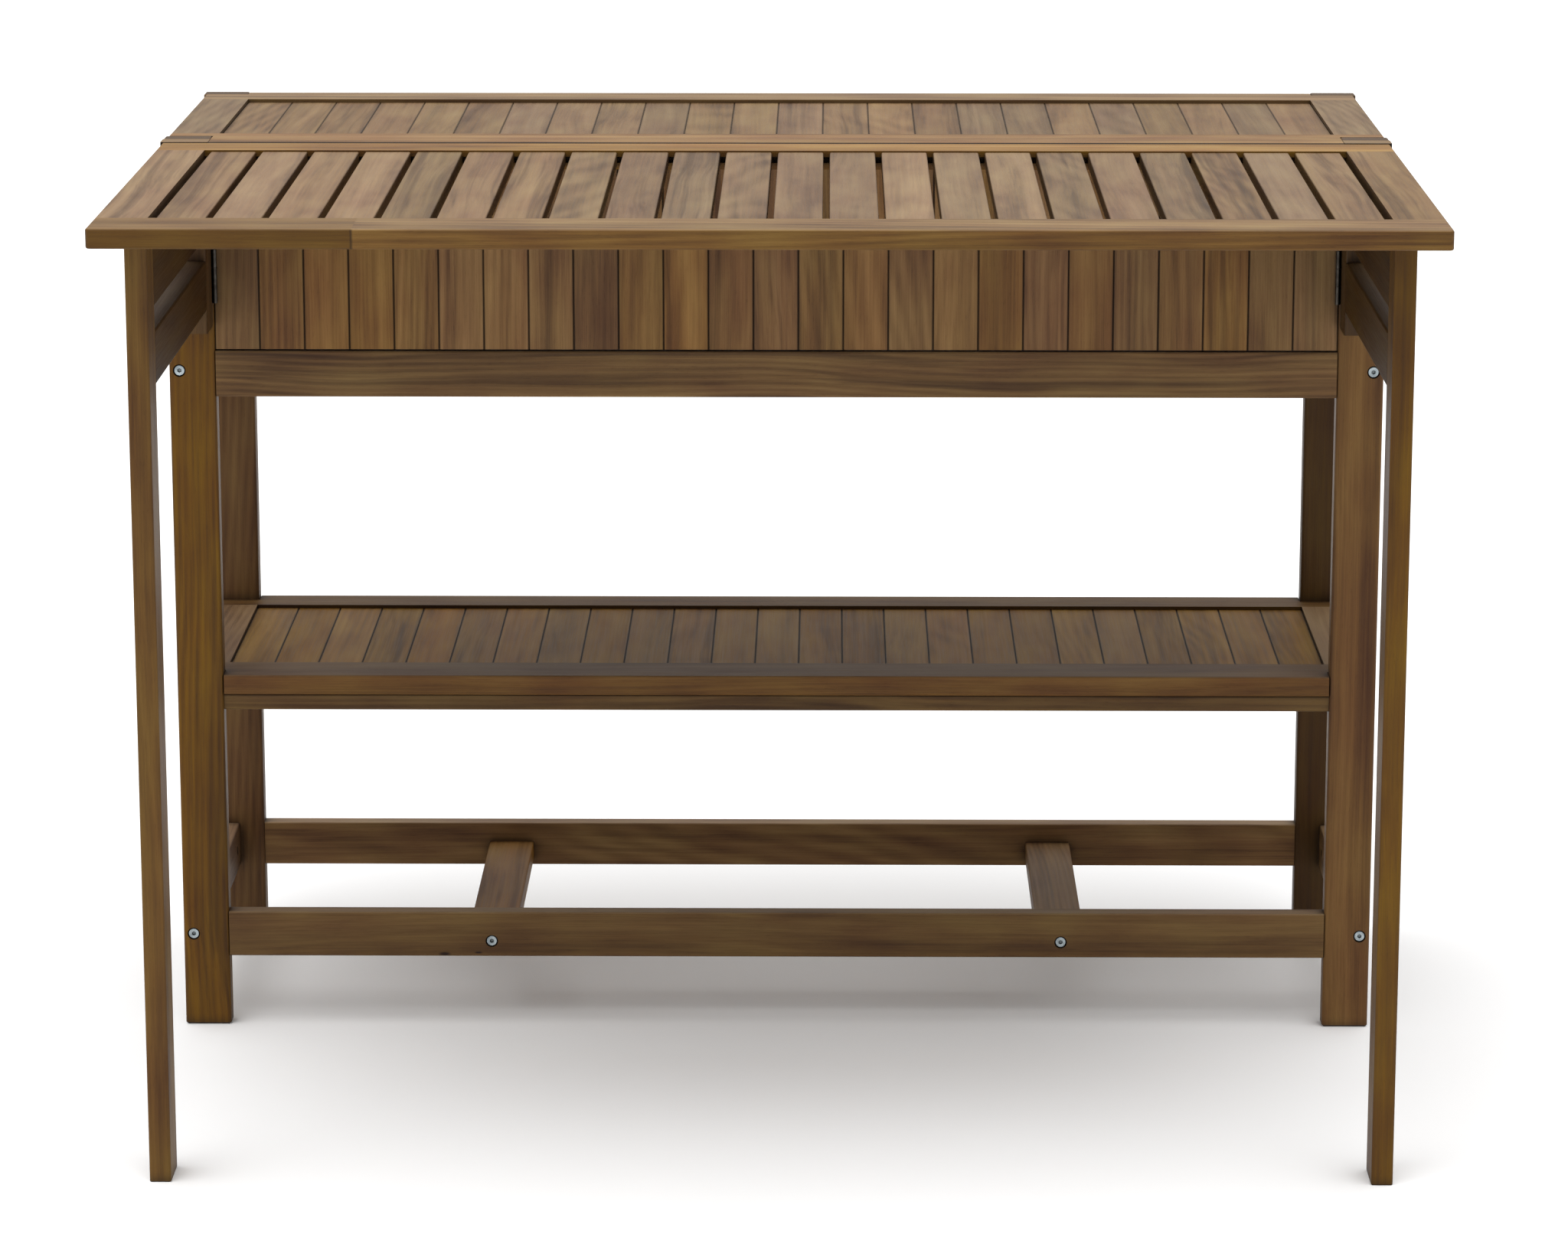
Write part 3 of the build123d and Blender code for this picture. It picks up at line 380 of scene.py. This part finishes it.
def timber(node, seed):
    """Oiled timber of one node: figure along its grain, tone of each piece, darker ends, dark lines,
    painted light on faces that look up, and painted shade.
    """
    material = bpy.data.materials.new("timber_" + node)
    material.use_nodes = True
    n = Nodes(material.node_tree)
    place = n.add("ShaderNodeTexCoord")
    at = n.separate(place.outputs["Object"])
    facing = n.separate(place.outputs["Normal"])
    up = n.fade(facing[2], *UP_RANGE)
    grain = grain_of(node)
    piece, line = seed, None
    if node in ROWS:
        piece, line = board_row(n, at, node, seed)
    if node in SEAMS:
        piece, line = joined(n, at, up, node, seed)
    figure = n.add("ShaderNodeGroup", node_tree=FIGURE)
    order = {"X": (0, 2, 1), "Y": (1, 0, 2), "Z": (2, 0, 1)}[grain]
    for index, source in enumerate([at[axis] for axis in order] + [piece]):
        n.feed(figure.inputs[index], source)
    tone, fibre, pores, blotch, vein = figure.outputs
    # painted light and sheen: faces that look up take the paler ramp
    colour = n.mix(up, n.ramp(tone, UPRIGHT), n.ramp(tone, UPWARD_PAINTED_LIGHT))
    colour = n.mix(vein, colour, n.tint(colour, VEIN_TINT))
    colour = piece_shade(n, colour, piece, blotch, TONE_AND_PAINTED_LIGHT.get(node, PLAIN_LOOK))
    end = n.fade(n.math("ABSOLUTE", facing[AXES.index(grain)]), *END_RANGE)
    colour = n.mix(end, colour, n.dim(END_GRAIN, n.fade(fibre, *FIBRE_RANGE, *END_FIBRES)))
    if node in MARKS:
        colour = n.mix(spots(n, at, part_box(node)[0], MARKS[node]), colour, n.tint(colour, MARK_TINT))
    # painted shade in corners and gaps, together with the dark lines between boards
    colour = n.dim(colour, timber_lines_and_shade(n, node, facing, up, line))
    height = n.math("MULTIPLY_ADD", pores, PORE_HEIGHT, n.math("MULTIPLY", fibre, FIBRE_HEIGHT))
    bump = n.add("ShaderNodeBump", {**TIMBER_BUMP, "Height": height})
    shader = n.add("ShaderNodeBsdfPrincipled", {
        "Base Color": colour, "Roughness": n.fade(fibre, *FIBRE_RANGE, *TIMBER_ROUGHNESS),
        "Normal": bump.outputs[0], "Specular IOR Level": TIMBER_SPECULAR})
    n.add("ShaderNodeOutputMaterial", {0: shader.outputs[0]})
    return material


def zinc(name, tones):
    """Zinc-plated steel with a mottled sheen between two greys, with painted shade in its crevices."""
    material = bpy.data.materials.new(name)
    material.use_nodes = True
    n = Nodes(material.node_tree)
    place = n.add("ShaderNodeTexCoord").outputs["Object"]
    fine = n.add("ShaderNodeTexNoise", {"Vector": place, **ZINC_FINE}).outputs[0]
    coarse = n.add("ShaderNodeTexNoise", {"Vector": place, **ZINC_COARSE}).outputs[0]
    colour = n.ramp(coarse, tuple(zip(ZINC_RANGE, tones)))
    # painted shade in crevices and sockets
    colour = n.dim(colour, crevice(n, ZINC_CREVICE_REACH, ZINC_CREVICE_RANGE, ZINC_CREVICE_SHADE))
    bump = n.add("ShaderNodeBump", {**ZINC_BUMP, "Height": fine})
    shader = n.add("ShaderNodeBsdfPrincipled", {
        "Base Color": colour, "Roughness": n.fade(fine, *ZINC_RANGE, *ZINC_ROUGHNESS),
        "Metallic": 1.0, "Normal": bump.outputs[0]})
    n.add("ShaderNodeOutputMaterial", {0: shader.outputs[0]})
    return material


def paint(node, material):
    """The node's object takes this material in every slot."""
    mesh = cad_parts[node].data
    if not mesh.materials:
        mesh.materials.append(material)
    for index in range(len(mesh.materials)):
        mesh.materials[index] = material


def finish_nodes():
    """Every CAD node gets its own timber, or one of the two shared zincs."""
    bright = zinc("bright_zinc", BRIGHT_ZINC)
    shaded = zinc("shaded_zinc", SHADED_ZINC)
    for number, node in enumerate(sorted(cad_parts), 1):
        if node in BRIGHT_METAL:
            paint(node, bright)
        elif any(word in node for word in SHADED_METAL_WORDS):
            # painted shade: the darker copy of the zinc
            paint(node, shaded)
        else:
            paint(node, timber(node, 100 * number + 0.5))


def lay_floor():
    """Plain pale floor."""
    bpy.ops.mesh.primitive_plane_add(size=FLOOR_SIZE, location=(0, 0, 0))
    floor = bpy.context.object
    floor.name = "floor"
    material = bpy.data.materials.new("pale_floor")
    material.use_nodes = True
    shader = material.node_tree.nodes["Principled BSDF"]
    shader.inputs["Base Color"].default_value = FLOOR_COLOUR
    shader.inputs["Roughness"].default_value = FLOOR_ROUGHNESS
    floor.data.materials.append(material)


def light_studio():
    """A sky that brightens upwards, and a wide soft sun."""
    world = bpy.data.worlds.new("studio")
    bpy.context.scene.world = world
    world.use_nodes = True
    n = Nodes(world.node_tree)
    height = n.separate(n.add("ShaderNodeTexCoord").outputs["Generated"])[2]
    glow = n.fade(height, 0.0, 1.0, SKY_LOW, SKY_HIGH)
    seen = n.add("ShaderNodeLightPath").outputs["Is Camera Ray"]
    backdrop = n.add("ShaderNodeBackground", {"Strength": n.fade(seen, 0.0, 1.0, glow, BACKDROP)})
    n.add("ShaderNodeOutputWorld", {0: backdrop.outputs[0]})
    light = bpy.data.lights.new("overhead", "SUN")
    light.energy = SUN_STRENGTH
    light.angle = math.radians(SUN_SPREAD)
    lamp = bpy.data.objects.new("overhead", light)
    bpy.context.collection.objects.link(lamp)
    lamp.rotation_euler = Vector(SUN_WAY).to_track_quat("-Z", "Y").to_euler()


def place_camera():
    """The view from the front, a little above the work surface."""
    camera = bpy.data.cameras.new("camera")
    camera.lens = CAMERA_LENS
    camera.sensor_width = CAMERA_SENSOR
    camera.clip_end = CAMERA_REACH
    view = bpy.data.objects.new("camera", camera)
    bpy.context.collection.objects.link(view)
    level = math.cos(CAMERA_PITCH)
    forward = Vector((math.sin(CAMERA_YAW) * level, math.cos(CAMERA_YAW) * level, math.sin(CAMERA_PITCH)))
    view.location = CAMERA_PLACE
    view.rotation_euler = forward.to_track_quat("-Z", "Y").to_euler()
    bpy.context.scene.camera = view
    bpy.context.scene.view_settings.view_transform = "Standard"


finish_nodes()
lay_floor()
light_studio()
place_camera()
